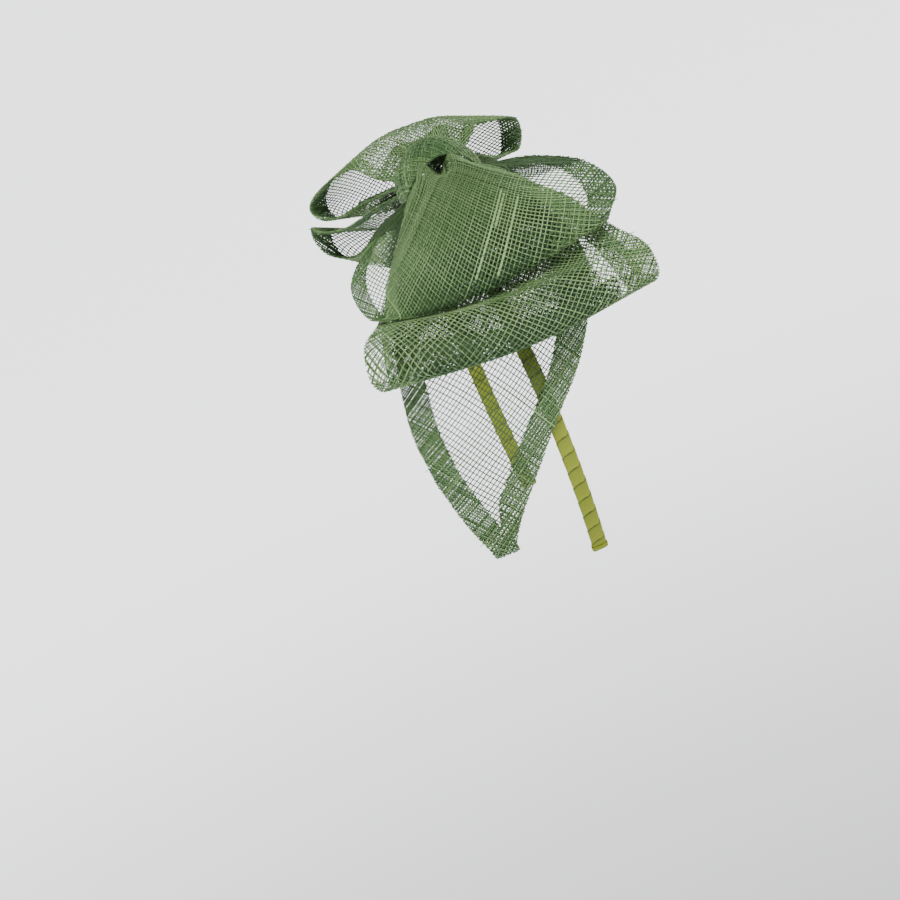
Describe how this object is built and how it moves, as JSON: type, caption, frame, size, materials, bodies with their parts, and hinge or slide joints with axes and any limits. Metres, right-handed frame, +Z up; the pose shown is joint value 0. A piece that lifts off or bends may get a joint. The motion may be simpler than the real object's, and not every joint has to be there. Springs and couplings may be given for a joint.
{
  "type": "bow fascinator on a headband",
  "caption": "Open-weave cloth bow with stacked side loops, a rolled knot and a leaf-shaped tail, sewn on a narrow ribbon-covered headband.",
  "frame": {"origin": "inner face of the headband at its crown, where it sits on the head", "axes": "+X to the wearer's left, the side the tail hangs on; +Y to the back; +Z up, away from the crown"},
  "size_m": [0.1613, 0.1149, 0.1581],
  "materials": {
    "cloth": "stiff open weave of bast straw, dull with a faint sheen",
    "ribbon": "satin ribbon, soft sheen"
  },
  "bodies": {
    "root": {"headband": "ribbon", "band_tip_left": "ribbon", "band_tip_right": "ribbon", "tail": "cloth", "upper_near_loop": "cloth", "lower_near_loop": "cloth", "upper_far_loop": "cloth", "lower_far_loop": "cloth", "knot_wrap": "cloth"}
  },
  "joints": []
}
